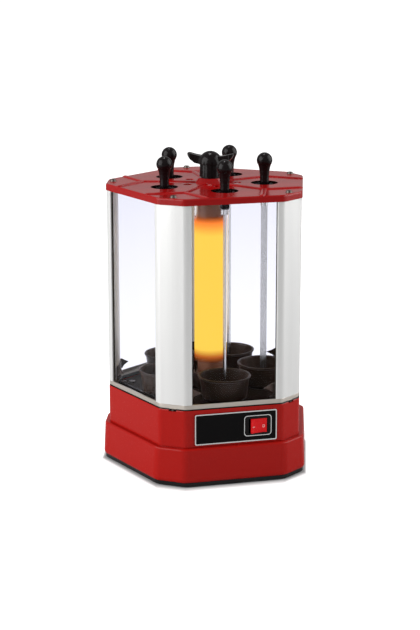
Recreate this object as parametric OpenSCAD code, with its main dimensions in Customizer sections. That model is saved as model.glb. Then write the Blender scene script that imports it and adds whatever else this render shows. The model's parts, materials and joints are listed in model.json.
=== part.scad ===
// Electric skewer grill: five-sided glass hood over a geared base.
// Millimetres, +Z up. The five-sided axis stands at y = axis_y, so that the
// whole outline is centred on the origin. The front (label and switch) faces -Y.

/* [Housing] */
// Distance from the middle to a long side of the upper base and hood
side = 112; // [109:0.5:115]
// Width of each of the five narrow corner faces
corner_face = 34; // [31:0.5:37]
// Plan rounding of the corners
corner_round = 11; // [9:0.5:13]
// Wall thickness of the pressed and moulded shells
wall = 2; // [1.7:0.1:2.4]
// How far the bottom of the skirt stands out from the body
flare = 7.4; // [6.6:0.2:8.2]
// How far the top of the skirt stands out from the body
ledge = 5.6; // [5:0.1:6.2]

/* [Heights] */
// Gap under the bottom cover, filled by the feet
foot_gap = 1; // [0.8:0.1:1.6]
// Height of the bottom cover's edge
cover_height = 4.5; // [4:0.25:5.5]
// Height of the skirt
skirt_height = 41.5; // [39:0.5:44]
// Height of the upper base
base_height = 48; // [47:0.5:51]
// Height of the ring under the posts
ring_height = 5.5; // [5:0.25:6.5]
// Height of the corner posts
post_height = 240.5; // [235:0.5:250]
// Height of the top cover's rim
plate_height = 8; // [7.5:0.25:9]

/* [Hood] */
// How far each post wraps on to the long side
flange = 8.2; // [7.4:0.2:9]
// Glass thickness
pane = 2.6; // [2.2:0.1:3]
// Height of the pressed beads on the top cover
bead_height = 1.6; // [1:0.1:2.2]
// Width of the pressed beads
bead_width = 7; // [5.5:0.5:8.5]
// Radius of the skewer openings in the top cover
opening = 16.5; // [15:0.25:18]
// Radius of the small vents
vent = 5.2; // [4:0.2:6]

/* [Drive] */
// Gear module
mod = 2; // [1.94:0.01:2.04]
// Teeth of the sun gear
sun_teeth = 42; // [42:42]
// Teeth of each skewer gear
drive_teeth = 24; // [24:24]
// Teeth of the motor pinion
pinion_teeth = 10; // [10:10]
// Face width of the gears
gear_width = 8; // [7:0.5:9]
// Radius of a spindle
spindle_radius = 5; // [4.5:0.1:5.4]
// Radial clearance of turning shafts
run = 0.05; // [0.03:0.01:0.08]

/* [Skewers and cups] */
// Radius of a handle ball
ball = 9.6; // [8:0.2:10.4]
// Width of a blade
blade_width = 8; // [7:0.5:9]
// Thickness of a blade
blade_thick = 2; // [1.6:0.1:2.4]
// Outer radius of a drip cup at the rim
cup_radius = 32.5; // [31:0.5:33.5]
// Height of a drip cup
cup_height = 29.5; // [27:0.5:32]

/* [Heater] */
// Outer radius of the glass tube
tube_radius = 20; // [19:0.25:21]
// Wall of the glass tube and its holder
tube_wall = 2; // [1.6:0.1:2.4]
// Gap between the ceramic core and the glass tube
core_gap = 2; // [1.6:0.1:3]
// Radius of a heating strand
strand = 1.5; // [1.2:0.1:1.8]

/* [Hidden] */
$fn = 64;
c36 = cos(36);
s36 = sin(36);
corner = (side - corner_face / 2 * s36) / c36;
axis_y = -(corner - side) / 2;
steps = 5;
z_cover = foot_gap;
z_skirt = z_cover + cover_height;
z_base = z_skirt + skirt_height;
z_deck = z_base + base_height;
z_posts = z_deck + ring_height;
z_rim = z_posts + post_height;
z_top = z_rim + plate_height;
sheet = 1.6;
collar_wall = 1.4;
lip_in = -14.8;
deck_in = -20;
floor_thick = 1.5;
floor_drop = 3.5;
z_floor = z_deck - floor_drop + floor_thick;
z_floor_under = z_deck - floor_drop;
lip_out = -13.3;
ring_sheet = 1.4;
lip_height = 2.6;
half_side = (corner - side * c36) / s36;
window = half_side - flange;
pane_out = -2.8;
pane_in = pane_out - pane;
slot_out = -2;
slot_in = pane_in - 0.6;
pane_half = window + 5.3;
pane_height = z_rim + 3 - z_deck - ring_sheet;
screw_r = corner - 6.6;
orbit = mod * (sun_teeth + drive_teeth) / 2;
motor_at = mod * (sun_teeth + pinion_teeth) / 2;
z_gear_top = z_floor_under - 4;
z_gear = z_gear_top - gear_width;
z_plate = z_gear - 6;
plate_thick = 2;
z_plate_under = z_plate - plate_thick;
bush_wall = 2;
head_radius = spindle_radius + 2;
bush_flange = spindle_radius + 3;
z_head = z_floor + 1.9;
z_head_top = z_head + 14.6;
post_r = 12;
core_radius = tube_radius - tube_wall - core_gap;
seat = 0.05;
tube_z = z_floor + 10.5;
tube_top = z_rim - 4;
core_z = z_floor + 16.5;
core_top = tube_top - 12;
strand_low = core_z + 20;
strand_high = core_z + 194.5;
rod = 4;
hub_height = 6;
z_hub = z_top + hub_height;
z_knob = z_hub + 1.5;
rod_top = z_knob + 6.5;
insert_bottom = z_knob + 0.5;
insert_top = z_knob + 10.5;
insert_r = 6.5;
handle_low = z_top - 22;
ball_z = z_top + 27.6;
boss_r = corner - 9;
deck_screw_r = corner - 18;
frame_screw_r = corner - 28;
foot_r = corner - 26;
feet = 2.5;
label_w = 102;
label_x = 1.8;
label_h = 38;
label_z = z_base + 3.5;
label_t = 1;
switch_inset = 23.8;
switch_x = label_x + label_w / 2 - switch_inset;
switch_z = label_z + 19.3;
rocker_half = 10.4;
rocker_tall = 17.5;
bezel_w = 28;
bezel_h = 21;
pivot = 1.5;

function away(i, d) = (i % 2 == 0 ? side : corner) + d;
function vertex(i, d) =
    let (t = -90 + 36 * i, a = away(i, d), b = away(i + 1, d),
         w = (b - a * c36) / s36)
    [a * cos(t) - w * sin(t), a * sin(t) + w * cos(t)];
function rounding(d) = max(corner_round + d, 2);
function rim_points(d) =
    let (r = rounding(d))
    [for (i = [0:9]) for (k = [0:steps])
        let (v = vertex(i, d - r), t = -90 + 36 * i + 36 * k / steps)
        v + r * [cos(t), sin(t)]];
// a point in a corner's own frame: u outward, v towards the next side
function on_side(d, s) = [(side + d) * c36 + s * s36, (side + d) * s36 - s * c36];
function mirrored(half) =
    concat(half, [for (i = [len(half) - 2:-1:1]) [half[i][0], -half[i][1]]]);

module outline(d) { polygon(rim_points(d)); }
module slab(d, z0, z1) { translate([0, 0, z0]) linear_extrude(z1 - z0) outline(d); }

// a closed profile of [offset, height] pairs carried round the outline
module ring_loft(profile) {
    m = len(profile);
    n = 10 * (steps + 1);
    polyhedron(
        points = [for (p = profile) for (q = rim_points(p[0])) [q[0], q[1], p[1]]],
        faces = [for (j = [0:m - 1]) for (k = [0:n - 1])
            let (a = j * n, b = ((j + 1) % m) * n, l = (k + 1) % n)
            [a + k, b + k, b + l, a + l]],
        convexity = 8);
}

module on_axis() { translate([0, axis_y, 0]) children(); }
module at_sides(r) { for (k = [0:4]) rotate(-90 + 72 * k) translate([r, 0, 0]) children(); }
module at_corners(r) { for (k = [0:4]) rotate(-54 + 72 * k) translate([r, 0, 0]) children(); }
module at_skewer(k) { on_axis() rotate(-90 + 72 * (k - 1)) translate([orbit, 0, 0]) children(); }
module rod_z(r, z0, z1) { translate([0, 0, z0]) cylinder(r = r, h = z1 - z0); }
module turned(profile) { rotate_extrude() polygon(profile); }

// ---- gear teeth -------------------------------------------------------
backlash = 0.4;
function inv(a) = tan(a) * 180 / PI - a;
function tooth_angle(r, z) =
    let (rp = mod * z / 2, rb = rp * cos(20))
    90 / z - backlash / (2 * rp) * 180 / PI + inv(20) - inv(acos(min(1, rb / max(r, rb))));
function gear_points(z) =
    let (rp = mod * z / 2, ra = rp + 0.85 * mod, rr = rp - 1.2 * mod,
         lo = max(rr + 0.1 * mod, rp * cos(20)),
         radii = [rr, lo, lo + (ra - lo) / 2, ra])
    [for (i = [0:z - 1]) let (c = 360 * i / z)
        for (q = [for (r = radii) [r, -tooth_angle(r, z)],
                  for (j = [3:-1:0]) [radii[j], tooth_angle(radii[j], z)]])
        [q[0] * cos(c + q[1]), q[0] * sin(c + q[1])]];
// tooth phase of a wheel at angle phi round the sun gear
function mesh_phase(phi, z) = phi + 180 + phi * sun_teeth / z + 180 / z;

// ---- base -------------------------------------------------------------
module bottom_cover() color("black") on_axis() difference() {
    union() {
        slab(flare - 1.8, z_cover, z_cover + 3);
        difference() {
            slab(flare - 1.8, z_cover, z_skirt);
            slab(flare - 5, z_cover - 1, z_skirt + 1);
        }
        at_corners(boss_r) rod_z(6.5, z_cover, z_skirt + 1);
    }
    at_corners(foot_r) rod_z(8, z_cover - 1, feet);
    at_corners(boss_r) rod_z(4, z_cover - 1, z_cover + 2.6);
    at_corners(boss_r) rod_z(2.1, z_cover, z_skirt + 2);
    for (i = [-3:3]) translate([i * 9 - 2, motor_at - 16, z_cover - 1]) cube([4, 32, 6]);
}
module rubber_feet() color("dimgray") on_axis() at_corners(foot_r) rod_z(8, 0, feet);
module base_skirt() color("red") on_axis() difference() {
    union() {
        ring_loft([[flare - 2.0, z_skirt], [flare - 0.9, z_skirt + 0.7],
            [flare - 0.25, z_skirt + 2], [flare, z_skirt + 4],
            [ledge + 0.1, z_base - 1.7], [ledge - 0.3, z_base - 0.6], [ledge - 1.3, z_base],
            [-9, z_base], [-9, z_base - wall],
            [ledge - wall - 0.4, z_base - wall], [flare - wall - 0.4, z_skirt + 4],
            [flare - wall - 1.4, z_skirt]]);
        at_corners(boss_r) rod_z(5, z_skirt + 1, z_base - wall / 2);
    }
    at_corners(boss_r) rod_z(2.1, z_skirt, z_base + 1);
    rotate(90) translate([corner + 1, -11, z_skirt + 12]) cube([10, 22, 16]);
}
module upper_base() color("firebrick") on_axis() difference() {
    union() {
        ring_loft([[-0.9, z_base], [-0.9, z_base + 1.2], [0, z_base + 1.2],
            [0, z_deck - 2.4], [-0.3, z_deck - 1.2], [-1.0, z_deck - 0.35], [-2.2, z_deck],
            [lip_out, z_deck], [lip_out, z_deck + lip_height],
            [lip_in, z_deck + lip_height], [lip_in, z_floor_under],
            [deck_in, z_floor_under], [deck_in, z_floor_under - wall],
            [lip_in + wall, z_floor_under - wall], [lip_in + wall, z_deck - wall],
            [-wall - 0.9, z_deck - wall], [-wall - 0.9, z_base]]);
        at_corners(boss_r) {
            rod_z(5, z_base, z_base + 16);
            translate([0, -1.5, z_base]) cube([7.5, 3, 16]);
        }
    }
    at_corners(boss_r) rod_z(2, z_base - 1, z_base + 12);
    at_corners(corner - 2.4) translate([0, -5, z_deck - 3.2]) cube([6, 10, 6]);
    translate([switch_x - bezel_w / 2, -side - 1, switch_z - bezel_h / 2]) cube([bezel_w, 8, bezel_h]);
    at_corners(deck_screw_r) rod_z(1.5, z_deck - 9, z_deck + 1);
}
module plate_outline(w, h, r) {
    for (x = [-1, 1]) for (y = [-1, 1])
        translate([x * (w / 2 - r), y * (h / 2 - r)]) circle(r);
    square([w - 2 * r, h], center = true);
    square([w, h - 2 * r], center = true);
}
// stands a flat outline on the front face, its back at distance d in front of it
module on_front(d, t) {
    translate([0, -side - d, 0]) rotate([90, 0, 0]) linear_extrude(t) children();
}
module label_plate() color("black") on_axis() on_front(0, label_t) difference() {
    translate([label_x, label_z + label_h / 2]) plate_outline(label_w, label_h, 2);
    translate([switch_x, switch_z]) square([bezel_w, bezel_h], center = true);
}
module border(w, h, r, t) difference() {
    plate_outline(w, h, r);
    plate_outline(w - 2 * t, h - 2 * t, r - t / 2);
}
module label_border() color("silver") on_axis() on_front(label_t, 0.3) {
    translate([label_x, label_z + label_h / 2]) border(label_w, label_h, 2, 1.3);
    translate([switch_x, switch_z]) border(34.3, 25.7, 4, 0.9);
}
module switch_bezel() color("black") on_axis() difference() {
    union() {
        on_front(label_t, 1.4) translate([switch_x, switch_z]) plate_outline(31, 22.6, 1.5);
        on_front(-13, 13 + label_t) translate([switch_x, switch_z]) square([bezel_w, bezel_h], center = true);
    }
    translate([switch_x - rocker_half - 1.2, -side - 20, switch_z - rocker_tall / 2 - 0.3])
        cube([2 * rocker_half + 2.4, 31, rocker_tall + 0.6]);
    translate([switch_x, rocker_axis_y, 0]) rod_z(pivot + run, switch_z - bezel_h, switch_z + bezel_h);
}
rocker_axis_y = -side + 3.4;
rocker_rest = 10;
module rocker() color("red") on_axis()
    translate([switch_x, rocker_axis_y, switch_z]) rotate(rocker_rest) {
        translate([0, 0, -rocker_tall / 2]) linear_extrude(rocker_tall) polygon([
            [-rocker_half, -6.6], [-rocker_half + 0.6, -7.3], [-5, -6.2], [0, -5.9], [5, -6.2],
            [rocker_half - 0.6, -7.3], [rocker_half, -6.6],
            [rocker_half - 1.2, -1.5], [5.5, 4], [-5.5, 4], [-rocker_half + 1.2, -1.5]]);
        rod_z(pivot, -rocker_tall / 2 - 1.5, rocker_tall / 2 + 1.5);
    }
module chamber_floor() color("dimgray") on_axis() difference() {
    slab(lip_in - 0.3, z_floor_under, z_floor);
    at_sides(orbit) rod_z(spindle_radius + bush_wall, z_floor_under - 1, z_floor + 1);
    rod_z(post_r, z_floor_under - 1, z_floor + 1);
    at_corners(deck_screw_r) rod_z(1.5, z_floor_under - 1, z_floor + 1);
    at_corners(frame_screw_r) rod_z(2, z_floor_under - 1, z_floor + 1);
}
module gear_plate() color("silver") on_axis() difference() {
    slab(deck_in - 1, z_plate_under, z_plate);
    at_sides(orbit) rod_z(spindle_radius + bush_wall, z_plate_under - 1, z_plate + 1);
    rod_z(rod, z_plate_under - 1, z_plate + 1);
    translate([0, motor_at, 0]) rod_z(5, z_plate_under - 1, z_plate + 1);
    at_corners(frame_screw_r) rod_z(2, z_plate_under - 1, z_plate + 1);
}
module gear_plate_spacers() color("silver") on_axis() at_corners(frame_screw_r) difference() {
    rod_z(4.5, z_plate, z_floor_under);
    rod_z(2, z_plate - 1, z_floor_under + 1);
}
module spindle_bushes() color("goldenrod") on_axis() at_sides(orbit) {
    difference() {
        union() {
            rod_z(spindle_radius + bush_wall, z_floor_under - 2.5, z_floor);
            rod_z(bush_flange, z_floor, z_floor + 1.5);
        }
        rod_z(spindle_radius + run, z_floor_under - 4, z_floor + 2);
    }
    difference() {
        union() {
            rod_z(spindle_radius + bush_wall, z_plate_under, z_plate + 1);
            rod_z(bush_flange, z_plate_under - 1.5, z_plate_under);
        }
        rod_z(spindle_radius + run, z_plate_under - 2, z_plate + 2);
    }
}
module sun_gear() color("ivory") on_axis() difference() {
    union() {
        translate([0, 0, z_gear]) linear_extrude(gear_width) polygon(gear_points(sun_teeth));
        rod_z(post_r + 6, z_gear - 2, z_gear);
    }
    rod_z(post_r + run, z_gear - 3, z_gear_top + 1);
    at_sides(mod * sun_teeth / 2 - 14) rod_z(8, z_gear - 3, z_gear_top + 1);
}
module centre_post() color("gray") on_axis() difference() {
    union() {
        rod_z(post_r, z_plate, z_floor + 1.5);
        rod_z(post_r + 6, z_plate, z_gear - 2.1);
        rod_z(post_r + 2.5, z_gear_top + 0.4, z_gear_top + 1.6);
    }
    rod_z(rod + 2, z_plate - 1, z_floor + 2);
}
module motor() color("silver") on_axis() translate([0, motor_at, 0]) difference() {
    union() {
        rod_z(25, z_plate_under - 19, z_plate_under - 1);
        rod_z(23.5, z_plate_under - 21.5, z_plate_under - 19);
        rod_z(8, z_plate_under - 1, z_plate_under);
        for (a = [90, 270]) rotate(a) translate([24, -6, z_plate_under - 1.5]) cube([9, 12, 1.5]);
    }
    rod_z(3 + run, z_plate_under - 8, z_plate_under + 1);
}
module motor_pinion() color("goldenrod") on_axis() translate([0, motor_at, 0])
    rotate(mesh_phase(90, pinion_teeth)) union() {
        translate([0, 0, z_gear]) linear_extrude(gear_width) polygon(gear_points(pinion_teeth));
        rod_z(3, z_plate_under - 7.5, z_gear);
    }
module heater_base() color("darkgray") on_axis() turned([
    [post_r + 0.2, z_floor], [tube_radius + 4, z_floor], [tube_radius + 4, z_floor + 8],
    [tube_radius + 1.6, core_z], [tube_radius, core_z], [tube_radius, tube_z],
    [tube_radius - tube_wall, tube_z], [tube_radius - tube_wall, core_z], [rod + 1, core_z],
    [rod + 1, z_floor + 9], [9.5, z_floor + 9], [9.5, z_floor + 1.5], [post_r + 0.2, z_floor + 1.5]]);
module glass_tube() color("lightyellow", 0.4) on_axis() difference() {
    rod_z(tube_radius, tube_z, tube_top);
    rod_z(tube_radius - tube_wall, tube_z - 1, tube_top + 1);
}
module strand_spots() { for (k = [0:11]) rotate(30 * k + 7) translate([core_radius - 0.4, 0, 0]) children(); }
module heater_core() color("wheat") on_axis() difference() {
    rod_z(core_radius, core_z, core_top);
    rod_z(rod + 1, core_z - 1, core_top + 1);
    strand_spots() rod_z(strand, strand_low, strand_high);
}
module heater_strands() color("orange") on_axis() strand_spots() rod_z(strand, strand_low, strand_high);
module heater_collar() color("tan") on_axis() difference() {
    union() {
        rod_z(tube_radius - tube_wall, core_top, tube_top);
        rod_z(tube_radius + 1, tube_top, tube_top + 3);
    }
    rod_z(rod, core_top - 1, tube_top + 4);
    for (a = [20:90:290]) rotate(a) translate([(tube_radius + rod - 1) / 2, 0, 0]) rod_z(1.8, core_top - 1, tube_top + 4);
}
module centre_rod() color("silver") on_axis() {
    rod_z(rod, z_plate_under - 12, rod_top);
    translate([0, 0, z_plate_under - 8]) cylinder(r = 7.5, h = 6.4, $fn = 6);
    rod_z(9, z_plate_under - 1.6, z_plate_under);
    translate([0, 0, z_floor + 1.5]) cylinder(r = 7.5, h = 6, $fn = 6);
}
module mains_inlet() color("black") on_axis() rotate(90) difference() {
    union() {
        translate([corner + 0.2, -13, z_skirt + 10]) cube([ledge - wall - 0.6, 26, 20]);
        translate([corner + 1, -11, z_skirt + 12]) cube([ledge - 0.4, 22, 16]);
    }
    translate([corner + 2, 0, z_skirt + 20]) rotate([0, 90, 0]) for (s = [-4, 4])
        translate([0, s, 0]) cylinder(r = 3.6, h = 10);
}
module base_screws() color("silver") on_axis() {
    at_corners(boss_r) {
        rod_z(2, z_cover + 2.6, z_base + 11);
        rod_z(3.8, z_cover + 0.4, z_cover + 2.6);
    }
    at_corners(deck_screw_r) {
        rod_z(1.5, z_floor_under - 5, z_floor);
        rod_z(2.6, z_floor, z_floor + 1.9);
    }
    at_corners(frame_screw_r) {
        rod_z(2, z_plate_under, z_floor);
        rod_z(3.8, z_floor, z_floor + 2.2);
        rod_z(3.8, z_plate_under - 2.2, z_plate_under);
    }
}

// ---- hood -------------------------------------------------------------
// a pressed bead from the origin along +X
module bead(length) {
    w = bead_width / 2;
    at = [[-0.9, 0.4], [-0.3, 0.85], [0.4, 1], [length / w - 0.4, 1], [length / w + 0.3, 0.85],
        [length / w + 0.9, 0.4]];
    n = 7;
    m = len(at);
    polyhedron(
        points = [for (p = at) for (q = [[1, -0.7, 0], [1, 0, 0], [0.72, 0, 0.7], [0, 0, 1],
                [-0.72, 0, 0.7], [-1, 0, 0], [-1, -0.7, 0]])
            [p[0] * w, q[0] * w * p[1], q[1] + q[2] * bead_height * p[1]]],
        faces = concat([[for (k = [0:n - 1]) k]],
            [[for (k = [n - 1:-1:0]) (m - 1) * n + k]],
            [for (j = [0:m - 2]) for (k = [0:n - 1]) let (l = (k + 1) % n)
                [j * n + k, (j + 1) * n + k, (j + 1) * n + l, j * n + l]]));
}
fork = side * 0.74;
function bead_end() = [screw_r - 11, half_side * 0.62];
module top_plate() color("red") on_axis() difference() {
    union() {
        slab(-0.4, z_top - sheet, z_top - 0.01);
        ring_loft([[1 - sheet, z_rim], [1, z_rim], [1, z_top - 1.9], [0.65, z_top - 0.8],
            [0, z_top - 0.2], [-1.4, z_top], [-4, z_top], [-4, z_top - sheet],
            [1 - sheet, z_top - sheet - 0.4]]);
        translate([0, 0, z_top - 0.5]) cylinder(r1 = 20, r2 = 14, h = hub_height + 0.5);
        at_corners(0) {
            translate([18, 0, z_top - 0.02]) bead(fork - 18);
            for (s = [-1, 1]) translate([fork, 0, z_top - 0.02])
                rotate(s * atan2(half_side * 0.62, screw_r - 11 - fork))
                bead(norm([screw_r - 11 - fork, half_side * 0.62]));
        }
        at_corners(screw_r) rod_z(5, z_rim, z_top - sheet / 2);
        at_sides(orbit) rod_z(opening + collar_wall, z_rim, z_top - sheet / 2);
    }
    at_sides(orbit) rod_z(opening, z_rim - 1, z_top + 9);
    at_sides(orbit / 2) rod_z(vent, z_rim, z_top + 9);
    at_corners(screw_r) rod_z(2, z_rim - 1, z_top + 4);
    rod_z(rod + 0.6, z_rim, z_hub + 1);
    translate([0, 0, z_top - sheet - 0.01]) cylinder(r1 = 18, r2 = 12, h = hub_height - 1);
}
module plate_screws() color("silver") on_axis() at_corners(screw_r) difference() {
    union() {
        rod_z(2, z_rim - 14, z_top);
        translate([0, 0, z_top - 0.01]) cylinder(r1 = 4.2, r2 = 3.2, h = 2.4);
    }
    translate([-2.6, -0.5, z_top + 1]) cube([5.2, 1, 3]);
    translate([-0.5, -2.6, z_top + 1]) cube([1, 5.2, 3]);
}
module post_section() difference() {
    r = corner_round;
    h = ((side - r) - (corner - r) * c36) / s36;
    polygon(mirrored(concat([[corner + 0.55, 0], [corner + 0.45, 5]],
        [for (t = [6:6:36]) [corner - r + r * cos(t), h + r * sin(t)]],
        [on_side(0, window + 0.7), on_side(-0.6, window), on_side(slot_out, window),
         on_side(slot_out, window + 6.1), on_side(slot_in, window + 6.1),
         on_side(slot_in, window + 1.3), on_side(slot_in - 2, window + 1.3),
         [corner - 12, 10], [corner - 12, 0]])));
    for (s = [-1, 1]) translate([corner - 10.3, s > 0 ? 5 : -11.5]) square([7.2, 6.5]);
    translate([screw_r, 0]) circle(2);
}
module corner_posts() color("whitesmoke") on_axis() at_corners(0)
    translate([0, 0, z_posts]) linear_extrude(post_height) post_section();
module glass_panes() color("lightblue", 0.25) on_axis() at_sides(side + pane_in)
    translate([0, -pane_half, z_deck + ring_sheet]) cube([pane, 2 * pane_half, pane_height]);
module pane_seals() color("black") on_axis() at_sides(0) for (m = [0, 1]) mirror([0, m, 0])
    translate([0, 0, z_posts]) linear_extrude(post_height) difference() {
        translate([side + slot_in, window - 0.9]) square([slot_out - slot_in, 7]);
        translate([side + pane_in, window - 2]) square([pane, pane_half - window + 2]);
        translate([side + slot_in - 1, window - 2]) square([1.6, 3.3]);
    }
module hood_ring() color("silver") on_axis() union() {
    ring_loft([[-1.4, z_deck], [-1.4, z_deck + 1.1], [-0.4, z_deck + 1.1], [-0.4, z_posts - 0.7],
        [-0.8, z_posts - 0.1], [-1.4, z_posts], [-2.4, z_posts], [-2.4, z_deck + ring_sheet],
        [-9, z_deck + ring_sheet], [-9, z_deck]]);
    at_corners(0) translate([0, 0, z_deck]) linear_extrude(ring_height) polygon(mirrored([
        [corner - 1.4, 0], [corner - 1.4, 10], on_side(-1.4, pane_half + 0.4),
        on_side(slot_in - 2, pane_half + 0.4), [corner - 12, 10], [corner - 12, 0]]));
    at_corners(corner - 2.2) translate([0, -4.2, z_deck - 3]) cube([1.2, 8.4, 3.2]);
}
module ring_screws() color("silver") on_axis() {
    at_corners(corner - 1) translate([0, 0, z_deck - 1.5]) rotate([0, 90, 0])
        cylinder(r = 1.3, h = 0.6);
}
// a pointed wing of a foot bracket, drawn as [distance along the side, height]
wing_plate = [[-0.6, 6], [-0.6, 18], [3, 18], [7, 15.5], [14.5, 12], [6, 9], [3, 6]];
module bracket_wing() rotate(36) translate([side + slot_in - 3.5, -window - 0.8, z_posts])
    rotate([90, 0, 90]) linear_extrude(1.5) polygon(wing_plate);
module post_brackets() color("tan") on_axis() at_corners(0) {
    translate([0, 0, z_posts]) linear_extrude(18) polygon(mirrored([
        [corner - 12, 0], [corner - 12, 10], on_side(slot_in - 2, window + 1.3),
        on_side(slot_in - 3.5, window + 0.8), [corner - 13.5, 10.3], [corner - 13.5, 0]]));
    bracket_wing();
    mirror([0, 1, 0]) bracket_wing();
}
// side view of a wing, as [distance from the axis, height over the knob's foot]
wing_side = [[8, 14], [13, 15], [19, 16], [24.5, 20], [28.2, 24.6], [29, 26.8], [28.6, 28],
    [27.4, 28.4], [20, 26.4], [12, 25], [8, 25]];
module wing() intersection() {
    translate([0, 6, z_knob]) rotate([90, 0, 0]) linear_extrude(12) polygon(wing_side);
    translate([0, 0, z_knob]) linear_extrude(30) {
        polygon([[6, -6], [24.6, -4.3], [24.6, 4.3], [6, 6]]);
        translate([24.6, 0]) circle(4.6);
    }
}
module wing_knob() color("black") on_axis() rotate(-30) difference() {
    union() {
        translate([0, 0, z_knob]) cylinder(r1 = 13.4, r2 = 12.8, h = 16);
        intersection() {
            translate([0, 0, z_knob + 16.4]) sphere(r = 14.6);
            rod_z(20, z_knob + 15.2, z_knob + 40);
        }
        wing();
        rotate(180) wing();
    }
    rod_z(insert_r, z_knob - 1, insert_top);
    rod_z(rod + 1, z_knob - 1, insert_top + 4);
}
module knob_insert() color("goldenrod") on_axis() difference() {
    rod_z(insert_r, insert_bottom, insert_top);
    rod_z(rod + run, insert_bottom - 1, insert_top + 1);
}
module knob_washer() color("silver") on_axis() difference() {
    rod_z(11, z_hub, z_knob - seat);
    rod_z(rod + 0.6, z_hub - 1, z_knob + 1);
}

// ---- skewers, cups and drive, one of each per side --------------------
module blade_solid() {
    rotate([90, 0, 0]) translate([0, 0, -blade_thick / 2]) linear_extrude(blade_thick) polygon([
        [0, z_head + 1], [blade_width / 2, z_head + 9], [blade_width / 2, z_top + 4],
        [-blade_width / 2, z_top + 4], [-blade_width / 2, z_head + 9]]);
}
module skewer_blade(k) color("silver") at_skewer(k) union() {
    blade_solid();
    rod_z(blade_width / 2 + 0.6, handle_low - 6, handle_low);
}
module skewer_handle(k) color("black") at_skewer(k) difference() {
    turned([[0, handle_low], [5, handle_low], [5.8, handle_low + 1.5], [5.6, z_top - 4],
        [5.6, z_top + 9], [6.2, ball_z - ball - 2.8], [7, ball_z - ball + 1.2],
        for (t = [-36:9:81]) [ball * cos(t), ball_z + ball * sin(t)], [0, ball_z + ball]]);
    blade_solid();
}
module drip_cup(k) color("black") at_skewer(k) {
    r = cup_radius;
    z = z_floor + seat;
    h = cup_height;
    turned([[bush_flange + 0.6, z], [r - 9.5, z], [r - 6.8, z + 1.2], [r - 5, z + 3.8],
        [r - 1.8, z + h - 3], [r - 0.4, z + h - 2.2], [r, z + h - 1.1], [r - 0.4, z + h - 0.2],
        [r - 1.4, z + h], [r - 2.6, z + h - 0.4], [r - 3.2, z + h - 2.4],
        [r - 6.5, z + 4.4], [r - 7.8, z + 2.4], [r - 9.7, z + 1.5], [bush_flange + 2.1, z + 1.5],
        [bush_flange + 2.1, z_head_top + 2], [bush_flange + 0.6, z_head_top + 2]]);
}
module flat_cut(z0, z1, d) {
    translate([spindle_radius - 0.8 + d, -spindle_radius - 1, z0])
        cube([spindle_radius, 2 * spindle_radius + 2, z1 - z0]);
}
module drive_gear(k) color("ivory") at_skewer(k)
    rotate(mesh_phase(-90 + 72 * (k - 1), drive_teeth) + 90 - 72 * (k - 1)) difference() {
        union() {
            translate([0, 0, z_gear]) linear_extrude(gear_width) polygon(gear_points(drive_teeth));
            rod_z(spindle_radius + 4, z_gear - 2, z_gear);
        }
        difference() {
            rod_z(spindle_radius, z_gear - 3, z_gear_top + 1);
            flat_cut(z_gear - 4, z_gear_top + 2, 0);
        }
    }
module spindle(k) color("silver") at_skewer(k) union() {
    rotate(mesh_phase(-90 + 72 * (k - 1), drive_teeth) + 90 - 72 * (k - 1)) difference() {
        rod_z(spindle_radius, z_plate_under - 4, z_head + 0.3);
        flat_cut(z_gear - 2, z_gear_top, 0);
    }
    rod_z(spindle_radius + 1.5, z_plate_under - 3.2, z_plate_under - 2);
    difference() {
        rod_z(head_radius, z_head, z_head_top);
        translate([-blade_width / 2 - 0.5, -blade_thick / 2 - 0.3, z_head + 0.6])
            cube([blade_width + 1, blade_thick + 0.6, z_head_top - z_head]);
    }
}

/* [Hidden] */
bottom_cover();
rubber_feet();
base_skirt();
upper_base();
label_plate();
label_border();
switch_bezel();
rocker();
chamber_floor();
gear_plate();
gear_plate_spacers();
spindle_bushes();
sun_gear();
centre_post();
motor();
motor_pinion();
heater_base();
glass_tube();
heater_core();
heater_strands();
heater_collar();
centre_rod();
mains_inlet();
base_screws();
top_plate();
plate_screws();
corner_posts();
glass_panes();
hood_ring();
ring_screws();
pane_seals();
post_brackets();
wing_knob();
knob_insert();
knob_washer();
skewer_blade(1);  // skewer_blade_1
skewer_blade(2);  // skewer_blade_2
skewer_blade(3);  // skewer_blade_3
skewer_blade(4);  // skewer_blade_4
skewer_blade(5);  // skewer_blade_5
skewer_handle(1);  // skewer_handle_1
skewer_handle(2);  // skewer_handle_2
skewer_handle(3);  // skewer_handle_3
skewer_handle(4);  // skewer_handle_4
skewer_handle(5);  // skewer_handle_5
drip_cup(1);  // drip_cup_1
drip_cup(2);  // drip_cup_2
drip_cup(3);  // drip_cup_3
drip_cup(4);  // drip_cup_4
drip_cup(5);  // drip_cup_5
drive_gear(1);  // drive_gear_1
drive_gear(2);  // drive_gear_2
drive_gear(3);  // drive_gear_3
drive_gear(4);  // drive_gear_4
drive_gear(5);  // drive_gear_5
spindle(1);  // spindle_1
spindle(2);  // spindle_2
spindle(3);  // spindle_3
spindle(4);  // spindle_4
spindle(5);  // spindle_5
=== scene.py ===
"""Electric skewer grill: looks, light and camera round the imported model."""

import json
import math

import bpy
from mathutils import Matrix, Vector


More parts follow.
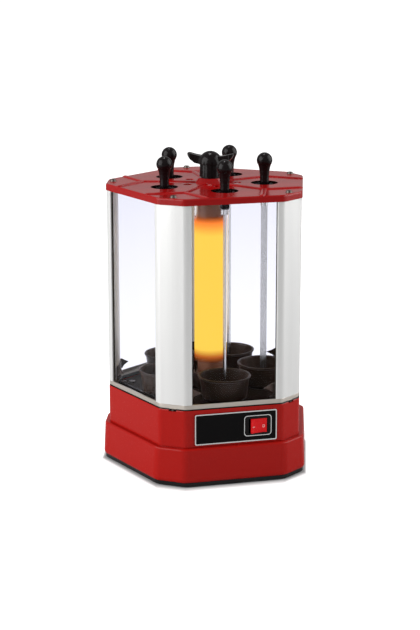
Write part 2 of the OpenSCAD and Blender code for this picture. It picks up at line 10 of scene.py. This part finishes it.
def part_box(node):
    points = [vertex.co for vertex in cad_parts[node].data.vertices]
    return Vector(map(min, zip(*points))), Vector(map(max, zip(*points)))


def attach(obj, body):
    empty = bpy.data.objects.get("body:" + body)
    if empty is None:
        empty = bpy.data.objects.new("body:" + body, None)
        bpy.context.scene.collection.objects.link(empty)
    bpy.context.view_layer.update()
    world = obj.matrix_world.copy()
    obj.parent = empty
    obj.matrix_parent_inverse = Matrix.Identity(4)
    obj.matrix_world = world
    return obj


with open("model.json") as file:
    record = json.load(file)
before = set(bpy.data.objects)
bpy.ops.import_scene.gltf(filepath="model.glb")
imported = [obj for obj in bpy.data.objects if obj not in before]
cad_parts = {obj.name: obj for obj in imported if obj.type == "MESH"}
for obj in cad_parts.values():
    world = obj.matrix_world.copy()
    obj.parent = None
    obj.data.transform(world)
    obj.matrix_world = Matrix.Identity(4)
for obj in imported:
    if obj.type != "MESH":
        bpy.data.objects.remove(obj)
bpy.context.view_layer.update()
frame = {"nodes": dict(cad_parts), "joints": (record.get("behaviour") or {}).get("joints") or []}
nodes = frame["nodes"]

# ---- places worked out from the frame, in metres ---------------------------
FIVE = range(1, 6)
core_low, core_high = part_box("heater_core")
strand_low, strand_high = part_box("heater_strands")
axis_y = (core_low.y + core_high.y) / 2
RING_TAB = 0.003  # the ring's tabs hang this far below the deck
deck_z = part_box("hood_ring")[0].z + RING_TAB
SHADE_LINE = 0.0013  # height of the painted shadow line under the ring, at the top of the upper base
HAIR = 0.0001  # keeps two faces, or a limit and a face, just apart
COLLAR_RISE = 0.0015  # middle of the openings' collars, above the posts' tops
COLLAR_REACH = 0.0178  # a ball of this radius round that middle holds the collar alone, and gets painted shade
collar_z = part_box("corner_posts")[1].z + COLLAR_RISE

# ---- camera: fitted to the photograph's edges ------------------------------
CAMERA_AT = (-0.5335, -2.0101, 0.6884)
CAMERA_YAW = 75.10  # degrees from the X axis
CAMERA_DOWN = 13.739  # degrees below level
CAMERA_LENS = 97.82
FILM = 36.0
NEAREST = 0.05
FURTHEST = 50


def make_camera():
    data = bpy.data.cameras.new("camera")
    data.sensor_width = FILM
    data.lens = CAMERA_LENS
    data.clip_start = NEAREST
    data.clip_end = FURTHEST
    cam = bpy.data.objects.new("camera", data)
    bpy.context.scene.collection.objects.link(cam)
    yaw, down = math.radians(CAMERA_YAW), math.radians(CAMERA_DOWN)
    ahead = Vector((math.cos(yaw) * math.cos(down), math.sin(yaw) * math.cos(down), -math.sin(down)))
    cam.location = CAMERA_AT
    cam.rotation_mode = "QUATERNION"
    cam.rotation_quaternion = ahead.to_track_quat("-Z", "Y")
    bpy.context.scene.camera = cam


# ---- colours ----------------------------------------------------------------
def linear(r, g, b):
    """An sRGB colour, 0 to 255, as linear RGBA."""
    def one(c):
        c /= 255
        return c / 12.92 if c <= 0.04045 else ((c + 0.055) / 1.055) ** 2.4
    return (one(r), one(g), one(b), 1.0)


def scaled(colour, k):
    return tuple(min(1.0, c * k) for c in colour[:3]) + (1.0,)


def grey(level):
    return (level, level, level, 1.0)


# ---- shader nodes -----------------------------------------------------------
NOISE_LOW, NOISE_HIGH = 0.3, 0.7  # nearly all of a noise texture lies between these
NOISE_DETAIL = 3.0
UP = (0, 0, 1)


class Nodes:
    """The node tree of a new material or world, with short calls to add and link nodes."""

    def __init__(self, owner, output="ShaderNodeOutputMaterial"):
        self.owner = owner
        owner.use_nodes = True
        self.tree = owner.node_tree
        self.tree.nodes.clear()
        self.out = self.add(output)

    def add(self, kind, **values):
        node = self.tree.nodes.new(kind)
        for key, value in values.items():
            setattr(node, key, value)
        return node

    def link(self, value, socket):
        """Feed a socket from a node's output, or set it to a plain value."""
        if hasattr(value, "links"):
            self.tree.links.new(value, socket)
        else:
            socket.default_value = value

    def fed(self, kind, inputs, **values):
        """A new node with its inputs, by name or number, linked or set."""
        node = self.add(kind, **values)
        for key, value in inputs.items():
            self.link(value, node.inputs[key])
        return node

    def finish(self, shader):
        """Send a shader to the output, and give back the material or world."""
        self.link(shader, self.out.inputs["Surface"])
        return self.owner

    def coords(self, scale=(1, 1, 1)):
        place = self.add("ShaderNodeTexCoord").outputs["Object"]
        return self.fed("ShaderNodeMapping", {"Vector": place, "Scale": scale}).outputs["Vector"]

    def noise(self, scale, stretch=(1, 1, 1)):
        """A fine cloudy pattern, as a factor."""
        inputs = {"Scale": scale, "Detail": NOISE_DETAIL, "Vector": self.coords(stretch)}
        return self.fed("ShaderNodeTexNoise", inputs).outputs["Fac"]

    def math(self, operation, a, b):
        """One sum on node outputs or plain numbers."""
        return self.fed("ShaderNodeMath", {0: a, 1: b}, operation=operation).outputs[0]

    def vector(self, operation, vector):
        """The dot product of a point's place with, or its distance to, a fixed vector."""
        inputs = {0: self.coords(), 1: vector}
        return self.fed("ShaderNodeVectorMath", inputs, operation=operation).outputs["Value"]

    def height(self):
        return self.vector("DOT_PRODUCT", UP)

    def laid_over(self, value, start, end, low, high, kind="LINEAR"):
        """A value whose stretch from start to end is laid over that from low to high."""
        inputs = {"Value": value, "From Min": start, "From Max": end, "To Min": low, "To Max": high}
        return self.fed("ShaderNodeMapRange", inputs, interpolation_type=kind).outputs["Result"]

    def spread(self, noise, low, high):
        """A noise texture's factor, spread from low to high."""
        return self.laid_over(noise, NOISE_LOW, NOISE_HIGH, low, high)

    def blend(self, fac, a, b):
        """The first colour where fac is 0, the second where it is 1.

        The node's colour sockets share their names with others, so they go by number.
        """
        return self.fed("ShaderNodeMix", {0: fac, 6: a, 7: b}, data_type="RGBA").outputs[2]

    def mottled(self, noise, colour, tint):
        """A colour that wanders a little darker and lighter with a noise."""
        darker, lighter = scaled(colour, 1 - tint), scaled(colour, 1 + tint)
        return self.blend(self.spread(noise, 0, 1), darker, lighter)

    def shader(self, kind, inputs):
        return self.fed(kind, inputs).outputs[0]

    def principled(self, inputs):
        return self.shader("ShaderNodeBsdfPrincipled", inputs)

    def mixed(self, fac, first, second):
        """The first shader where fac is 0, the second where it is 1."""
        return self.shader("ShaderNodeMixShader", {0: fac, 1: first, 2: second})

    def either_ray(self, first, second):
        """1 for rays of two kinds, 0 for the others."""
        path = self.add("ShaderNodeLightPath")
        return self.math("MAXIMUM", path.outputs[first], path.outputs[second])

    def seen_directly(self):
        """1 for rays from the camera, also through glass, and 0 for light and reflections."""
        return self.either_ray("Is Camera Ray", "Is Transmission Ray")


def new_material(name):
    return Nodes(bpy.data.materials.new(name))


# ---- painted and metal surfaces ---------------------------------------------
ROUGH_SPREAD = 0.04
COAT_ROUGH = 0.04
RELIEF_STRENGTH = 0.35
RELIEF_FINER = 2.5
# nearly black painted shade, laid where shade falls
SHADE_BLACK = linear(14, 8, 8)


def surface(name, colour, rough, metal=0.0, tint=0.05, grain=160.0, stretch=(1, 1, 1),
            bump=0.0, coat=0.0, specular=0.5, shade_where=None):
    """A surface with a faint mottle in its colour and gloss, and an optional fine relief.

    The argument for painted shade is a function that gives a node output, 1 where nearly black
    painted shade replaces the colour.
    """
    n = new_material(name)
    mottle = n.noise(grain, stretch)
    paint = n.mottled(mottle, colour, tint)
    # painted shade where the shade function gives 1
    if shade_where:
        paint = n.blend(shade_where(n), paint, SHADE_BLACK)
    inputs = {
        "Base Color": paint,
        "Roughness": n.spread(mottle, max(0.0, rough - ROUGH_SPREAD), rough + ROUGH_SPREAD),
        "Metallic": metal,
        "Coat Weight": coat,
        "Coat Roughness": COAT_ROUGH,
        "Specular IOR Level": specular,
    }
    if bump:
        relief = n.noise(grain * RELIEF_FINER, stretch)
        inputs["Normal"] = n.fed("ShaderNodeBump", {
            "Strength": RELIEF_STRENGTH, "Distance": bump, "Height": relief}).outputs["Normal"]
    return n.finish(n.principled(inputs))


def shadow_under_ring(n):
    """1 along a painted shadow line at the top of the upper base, where the gap under the ring is in
    shade.
    """
    return n.math("GREATER_THAN", n.height(), deck_z - SHADE_LINE)


def shade_on_ring_tabs(n):
    """1 on the ring's small tabs, which hang below the deck and get painted shade."""
    return n.math("LESS_THAN", n.height(), deck_z - HAIR)


def shade_in_openings(n):
    """1 inside the collars of the five skewer openings, which get painted shade."""
    near = 1.0
    for k in FIVE:
        low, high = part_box(f"skewer_handle_{k}")
        middle = ((low.x + high.x) / 2, (low.y + high.y) / 2, collar_z)
        near = n.math("MINIMUM", near, n.vector("DISTANCE", middle))
    return n.math("LESS_THAN", near, COLLAR_REACH)


# ---- glass ------------------------------------------------------------------
GLASS_GRAIN = 60
WHITE = grey(1.0)


def glass(n, colour, ior, smoothest, roughest):
    return n.principled({
        "Base Color": colour,
        "Transmission Weight": 1.0,
        "IOR": ior,
        "Roughness": n.spread(n.noise(GLASS_GRAIN), smoothest, roughest),
    })


def open_to_light(n, solid, shade):
    """Let the lamps through a glass shader, so that what is behind it is lit."""
    through = n.shader("ShaderNodeBsdfTransparent", {"Color": shade})
    return n.mixed(n.either_ray("Is Shadow Ray", "Is Diffuse Ray"), solid, through)


def clear_glass(name, colour):
    """Thin, faintly tinted pane glass."""
    n = new_material(name)
    pane = glass(n, colour, ior=1.1, smoothest=0.005, roughest=0.015)
    return n.finish(open_to_light(n, pane, (0.95, 0.97, 0.96, 1)))


# ---- the heater's glow ------------------------------------------------------
GLOW_YELLOW = linear(253, 205, 78)
GLOW_STRAND = linear(255, 215, 100)
GLOW_ORANGE = linear(255, 132, 52)
CORE_PAST = 0.006  # the glow ends this far past the strands' ends
CORE_FADE = 0.018  # and takes this length to come up to full
STRAND_PAST = 0.004
STRAND_FADE = 0.016


def heat_by_height(n, past, fade, full):
    """Colour and mask of the glow: full along the heater, dying out through orange at its ends."""
    low, high = strand_low.z - past, strand_high.z + past
    heat = n.fed("ShaderNodeValToRGB", {"Fac": n.laid_over(n.height(), low, high, 0, 1)})
    ramp = heat.color_ramp
    for place, stop in enumerate(ramp.elements):
        stop.position, stop.color = place, (0, 0, 0, 0)
    edge = fade / (high - low)
    for place, colour in ((edge * 0.5, scaled(GLOW_ORANGE, 0.45)), (edge, full),
                          (1 - edge * 1.4, full), (1 - edge * 0.5, GLOW_ORANGE)):
        ramp.elements.new(place).color = colour
    return heat.outputs["Color"], heat.outputs["Alpha"]


def glowing(name, cold, full, strength, past, fade):
    """A hot surface, which fades to its cold colour at both ends."""
    n = new_material(name)
    glow, _ = heat_by_height(n, past, fade, full)
    return n.finish(n.principled({
        "Base Color": n.mottled(n.noise(220, (1, 1, 0.08)), cold, 0.15),
        "Roughness": 0.6,
        "Emission Color": glow,
        "Emission Strength": strength,
    }))


def hot_quartz(name, veil, strength):
    """A quartz tube that glows from within. veil is how much the glow hides what is behind it."""
    n = new_material(name)
    quartz = glass(n, (1.0, 0.96, 0.9, 1), ior=1.2, smoothest=0.02, roughest=0.06)
    glow, hot = heat_by_height(n, CORE_PAST, CORE_FADE, GLOW_YELLOW)
    light = n.shader("ShaderNodeEmission", {"Color": glow, "Strength": strength})
    hiding = n.math("MULTIPLY", hot, veil)
    return n.finish(n.mixed(hiding, open_to_light(n, quartz, WHITE), light))


# ---- what each piece wears --------------------------------------------------
RED = linear(163, 21, 16)
COVER_RED = linear(149, 8, 9)
ENAMEL = {"tint": 0.03, "grain": 500, "bump": 0.00004}
BASE_ENAMEL = {**ENAMEL, "coat": 0.2, "specular": 0.05}
ROLLED = {"grain": 300, "stretch": (1, 1, 12)}  # fine grain along strips and rings


def dress(material, *names):
    for name in names:
        mesh = nodes[name].data
        mesh.materials.clear()
        mesh.materials.append(material)


def each(stem):
    """The names of five like pieces, numbered round the grill."""
    return [f"{stem}_{k}" for k in FIVE]


def dress_housing():
    """Red enamel, white posts, glass and rubber."""
    dress(surface("red_enamel", RED, 0.24, **BASE_ENAMEL), "base_skirt")
    # the top edge of the upper base gets a painted shadow line under the ring
    dress(surface("red_enamel_shaded_top", RED, 0.24, shade_where=shadow_under_ring, **BASE_ENAMEL),
          "upper_base")
    # painted shade inside the skewer openings
    dress(surface("cover_enamel", COVER_RED, 0.17, specular=0.26, shade_where=shade_in_openings,
                  **ENAMEL), "top_plate")
    dress(surface("black_gloss", linear(18, 17, 18), 0.2, tint=0.1, grain=300, specular=0.3),
          "bottom_cover")
    dress(surface("floor_enamel", linear(34, 24, 19), 0.5, tint=0.25, grain=60, specular=0.02),
          "chamber_floor")
    dress(surface("white_post", linear(224, 224, 223), 0.36, metal=0.32, tint=0.02, grain=90,
                  stretch=(1, 1, 0.05)), "corner_posts")
    dress(clear_glass("pane_glass", (0.82, 0.822, 0.875, 1)), "glass_panes")
    dress(surface("grey_rubber", linear(58, 54, 51), 0.75, tint=0.2, grain=900), "pane_seals")
    dress(surface("black_rubber", linear(24, 24, 24), 0.75, tint=0.2, grain=900), "rubber_feet")


def dress_metal():
    """Bare steel and brass."""
    # the ring's tabs get painted shade
    dress(surface("ring_steel", linear(200, 192, 183), 0.36, metal=0.8,
                  shade_where=shade_on_ring_tabs, **ROLLED), "hood_ring")
    dress(surface("polished_trim", linear(232, 232, 232), 0.2, metal=1.0, **ROLLED),
          "label_border")
    dress(surface("plated_screws", linear(90, 82, 78), 0.4, metal=1.0, grain=700),
          "plate_screws", "ring_screws", "base_screws")
    # the brackets are a dark brown steel, even all over
    dress(surface("dark_brown_steel", linear(66, 53, 45), 0.42, metal=0.8, tint=0.2, grain=120),
          "post_brackets")
    dress(surface("bright_steel", linear(188, 188, 186), 0.26, metal=1.0, grain=260,
                  stretch=(1, 1, 0.04)),
          "gear_plate", "gear_plate_spacers", "centre_post", "motor", "centre_rod",
          *each("skewer_blade"), *each("spindle"))
    dress(surface("turned_brass", linear(200, 160, 92), 0.25, metal=1.0, grain=400),
          "spindle_bushes", "motor_pinion", "knob_insert")


def dress_fittings():
    """Handles, cups, gears, label and switch."""
    dress(surface("black_handle", linear(18, 13, 14), 0.19, tint=0.15, grain=420, bump=0.00006,
                  specular=0.15), "wing_knob", *each("skewer_handle"))
    dress(surface("black_enamel", linear(46, 31, 22), 0.36, tint=0.2, grain=140, specular=0.16),
          *each("drip_cup"))
    dress(surface("nylon", linear(222, 218, 204), 0.45, grain=500), "sun_gear", *each("drive_gear"))
    dress(surface("black_panel", linear(10, 9, 10), 0.35, tint=0.1, grain=800, specular=0.08),
          "label_plate")
    dress(surface("black_switch", linear(18, 15, 16), 0.24, tint=0.1, grain=600, specular=0.15),
          "switch_bezel", "mains_inlet", "knob_washer")
    dress(surface("red_rocker", linear(220, 20, 26), 0.25, tint=0.04, grain=600, specular=0.2),
          "rocker")


def dress_heater():
    """Ceramic, quartz and the glowing core and strands."""
    dress(surface("heater_ceramic", linear(168, 118, 92), 0.6, tint=0.15, grain=130, bump=0.0002),
          "heater_collar")
    dress(surface("heater_holder", linear(96, 74, 62), 0.5, tint=0.2, grain=130, bump=0.0002),
          "heater_base")
    dress(hot_quartz("quartz", veil=0.9, strength=1.34), "glass_tube")
    dress(glowing("hot_core", linear(120, 74, 52), GLOW_YELLOW, 0.42, CORE_PAST, CORE_FADE),
          "heater_core")
    dress(glowing("hot_strands", linear(120, 100, 90), GLOW_STRAND, 0.5, STRAND_PAST, STRAND_FADE),
          "heater_strands")


# ---- switch marks -----------------------------------------------------------
ROCKER_REST = math.radians(10)
HALF_LEAN = math.atan2(1.1, 4.8)  # how each half of the rocker's face leans
MARK_DROP = 0.001  # the marks' middle is this far below the rocker's


def flat_ring(outer, inner, sides=28):
    """Corners and faces of a thin ring in the XZ plane."""
    points = [(r * math.cos(2 * math.pi * k / sides), 0, r * math.sin(2 * math.pi * k / sides))
              for r in (outer, inner) for k in range(sides)]
    faces = [(k, (k + 1) % sides, sides + (k + 1) % sides, sides + k) for k in range(sides)]
    return points, faces


def flat_bar(width, height):
    """Corners and face of a bar in the XZ plane."""
    w, h = width / 2, height / 2
    return [(-w, 0, -h), (w, 0, -h), (w, 0, h), (-w, 0, h)], [(0, 1, 2, 3)]


MARKS = (  # name, place across and out of the level rocker from its pivot, lean, shape
    ("mark_bar", -0.0073, -0.00672, -HALF_LEAN, flat_bar(0.0034, 0.0013)),
    ("mark_ring", 0.0058, -0.00638, HALF_LEAN, flat_ring(0.0019, 0.0009)),
)


def switch_marks():
    """A bar and a ring printed on the rocker, one on each half."""
    low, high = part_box("rocker")
    pivot = Vector(next(j for j in frame["joints"] if j["name"] == "rocker_tilt")["pos_m"])
    middle = Vector((pivot.x, pivot.y, (low.z + high.z) / 2 - MARK_DROP))
    paint = surface("switch_white", linear(240, 160, 156), 0.4, grain=600)
    for name, across, out, lean, (points, faces) in MARKS:
        mesh = bpy.data.meshes.new(name)
        mesh.from_pydata(points, [], faces)
        mesh.materials.append(paint)
        mark = bpy.data.objects.new(name, mesh)
        bpy.context.scene.collection.objects.link(mark)
        spot = Vector((across, out - HAIR, 0))
        spot.rotate(Matrix.Rotation(ROCKER_REST, 3, "Z"))
        mark.location = middle + spot
        mark.rotation_euler = (0, 0, ROCKER_REST - lean)
        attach(mark, "rocker")


# ---- stage ------------------------------------------------------------------
FLOOR_HALF = 6.0
FLOOR_DROP = 0.0003  # the floor is this far below the feet
FLOOR_WHITE = 0.5
SHADOW_WIDE = 0.023
SHADOW_NARROW = 0.004
SHADOW_TOWARDS = math.radians(-105)
SHADOW_FROM, SHADOW_TO = -0.15, 1.0  # where the light comes up, in widths of the shadow
FIFTH = 72  # of a turn, in degrees
SIDE_TURN, CORNER_TURN = -90, -54  # the ways that a side and the corner beside it face


def past_outline(n):
    """How far a floor point lies outside the grill's ten-sided foot, in widths of its shadow."""
    low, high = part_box("base_skirt")
    furthest = -1.0
    for k in FIVE:
        for turn, reach in ((SIDE_TURN, axis_y - low.y), (CORNER_TURN, high.y - axis_y)):
            angle = math.radians(turn + FIFTH * k)
            out = (math.cos(angle), math.sin(angle), 0)
            past = n.math("SUBTRACT", n.vector("DOT_PRODUCT", out), reach + axis_y * out[1])
            facing = max(0.0, math.cos(angle - SHADOW_TOWARDS))
            width = SHADOW_NARROW + (SHADOW_WIDE - SHADOW_NARROW) * facing ** 2
            furthest = n.math("MAXIMUM", furthest, n.math("DIVIDE", past, width))
    return furthest


def stage_material(name):
    """Pale and matt, with its shadow close to the object and clear white further out."""
    n = new_material(name)
    pale = n.blend(n.spread(n.noise(3), 0, 1), grey(FLOOR_WHITE), grey(FLOOR_WHITE * 0.99))
    matt = n.shader("ShaderNodeBsdfDiffuse", {"Color": pale})
    rise = n.laid_over(past_outline(n), SHADOW_FROM, SHADOW_TO, 0.0, 1.0, "SMOOTHSTEP")
    lift = n.math("MULTIPLY", n.seen_directly(), rise)
    light = n.shader("ShaderNodeEmission", {"Strength": lift})
    return n.finish(n.shader("ShaderNodeAddShader", {0: matt, 1: light}))


def make_floor():
    half = FLOOR_HALF
    mesh = bpy.data.meshes.new("floor")
    mesh.from_pydata([(-half, -half, 0), (half, -half, 0), (half, half, 0), (-half, half, 0)],
                     [], [(0, 1, 2, 3)])
    floor = bpy.data.objects.new("floor", mesh)
    bpy.context.scene.collection.objects.link(floor)
    mesh.materials.append(stage_material("pale_floor"))
    floor.location.z = -FLOOR_DROP


# ---- light ------------------------------------------------------------------
WORLD_LIGHT = 0.25
WORLD_MIRRORED = 0.5
WORLD_SEEN = 1.35
LAMP_TARGET = Vector((0, 0, 0.2))
LAMPS = (  # name, place, width and height, watts
    ("key", (-2.1, -0.40, 1.1), (2.3, 2.4), 73),
    ("fill", (2.1, -0.50, 1.2), (2.3, 2.4), 60),
    ("top", (0.0, 0.4, 2.2), (0.4, 0.4), 10),
)


def make_world():
    """White all round: dim as a light, brighter in reflections and brightest where it is seen."""
    world = bpy.data.worlds.new("studio")
    bpy.context.scene.world = world
    n = Nodes(world, "ShaderNodeOutputWorld")
    light, mirrored, seen = (n.shader("ShaderNodeBackground", {"Strength": strength})
                             for strength in (WORLD_LIGHT, WORLD_MIRRORED, WORLD_SEEN))
    reflection = n.add("ShaderNodeLightPath").outputs["Is Glossy Ray"]
    n.finish(n.mixed(n.seen_directly(), n.mixed(reflection, light, mirrored), seen))


def make_lamp(name, at, size, watts):
    data = bpy.data.lights.new(name, "AREA")
    data.shape = "RECTANGLE"
    data.size, data.size_y = size
    data.energy = watts
    lamp = bpy.data.objects.new(name, data)
    bpy.context.scene.collection.objects.link(lamp)
    lamp.location = at
    lamp.rotation_mode = "QUATERNION"
    lamp.rotation_quaternion = (LAMP_TARGET - Vector(at)).to_track_quat("-Z", "Y")


# ---- the whole scene --------------------------------------------------------
bpy.context.scene.view_settings.view_transform = "Standard"
make_camera()
dress_housing()
dress_metal()
dress_fittings()
dress_heater()
switch_marks()
make_floor()
make_world()
for row in LAMPS:
    make_lamp(*row)
